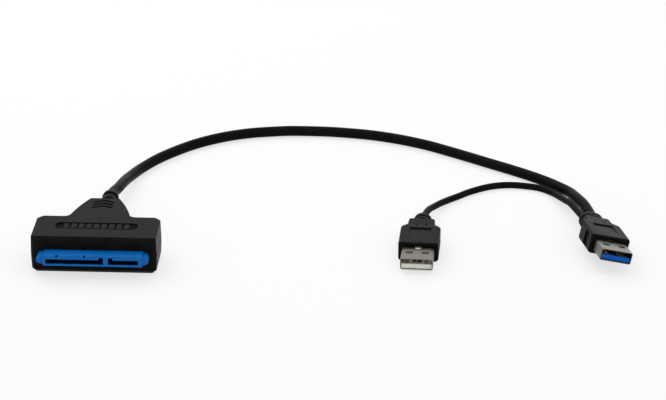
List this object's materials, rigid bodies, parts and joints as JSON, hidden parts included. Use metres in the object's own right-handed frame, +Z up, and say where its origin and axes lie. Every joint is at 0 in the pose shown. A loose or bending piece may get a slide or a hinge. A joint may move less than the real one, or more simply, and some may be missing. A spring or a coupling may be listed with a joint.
{
  "type": "usb to sata adapter",
  "caption": "Cable adapter with a flat 22-way SATA receptacle in a black housing, a main cable to a USB 3 plug and a thin supply cable to a second USB plug.",
  "frame": {"origin": "on the surface that the adapter lies on, under the middle of the SATA housing and its strain relief", "axes": "+Z up, -Y the way the SATA receptacle faces, +X along the width of the housing, towards the signal slot"},
  "size_m": [0.2205, 0.1425, 0.0143],
  "materials": {
    "black_case": "fine spark-eroded moulding",
    "black_jacket": "semi-matt flexible PVC",
    "blue_receptacle": "satin moulded nylon",
    "blue_tongue": "satin",
    "ivory_tongue": "satin",
    "tin_steel": "nickel plated",
    "gold_contact": "gold flash",
    "green_board": "solder mask",
    "black_chip": "moulded epoxy",
    "steel_can": "satin",
    "grey_ferrite": "pressed ferrite",
    "tan_ceramic": "fired ceramic",
    "clear_mould": "polyethylene"
  },
  "bodies": {
    "root": {"upper_shell": "black_case", "lower_shell": "black_case", "usb3_overmould": "black_case", "usb2_overmould": "black_case", "sata_strain_relief": "black_jacket", "main_cable": "black_jacket", "power_cable": "black_jacket", "sata_connector_body": "blue_receptacle", "sata_signal_contact_1": "gold_contact", "sata_signal_contact_2": "gold_contact", "sata_signal_contact_3": "gold_contact", "sata_signal_contact_4": "gold_contact", "sata_signal_contact_5": "gold_contact", "sata_signal_contact_6": "gold_contact", "sata_signal_contact_7": "gold_contact", "sata_power_contact_1": "gold_contact", "sata_power_contact_2": "gold_contact", "sata_power_contact_3": "gold_contact", "sata_power_contact_4": "gold_contact", "sata_power_contact_5": "gold_contact", "sata_power_contact_6": "gold_contact", "sata_power_contact_7": "gold_contact", "sata_power_contact_8": "gold_contact", "sata_power_contact_9": "gold_contact", "sata_power_contact_10": "gold_contact", "sata_power_contact_11": "gold_contact", "sata_power_contact_12": "gold_contact", "sata_power_contact_13": "gold_contact", "sata_power_contact_14": "gold_contact", "sata_power_contact_15": "gold_contact", "bridge_board": "green_board", "bridge_chip": "black_chip", "flash_chip": "black_chip", "regulator": "black_chip", "crystal": "steel_can", "capacitor": "tan_ceramic", "inductor": "grey_ferrite", "usb3_shell": "tin_steel", "usb3_tongue": "blue_tongue", "usb3_inner_mould": "clear_mould", "usb2_shell": "tin_steel", "usb2_tongue": "ivory_tongue", "usb2_inner_mould": "clear_mould", "usb3_contact_1": "gold_contact", "usb3_contact_2": "gold_contact", "usb3_contact_3": "gold_contact", "usb3_contact_4": "gold_contact", "usb3_contact_5": "gold_contact", "usb3_contact_6": "gold_contact", "usb3_contact_7": "gold_contact", "usb3_contact_8": "gold_contact", "usb3_contact_9": "gold_contact", "usb2_contact_1": "gold_contact", "usb2_contact_2": "gold_contact", "usb2_contact_3": "gold_contact", "usb2_contact_4": "gold_contact"}
  },
  "joints": []
}
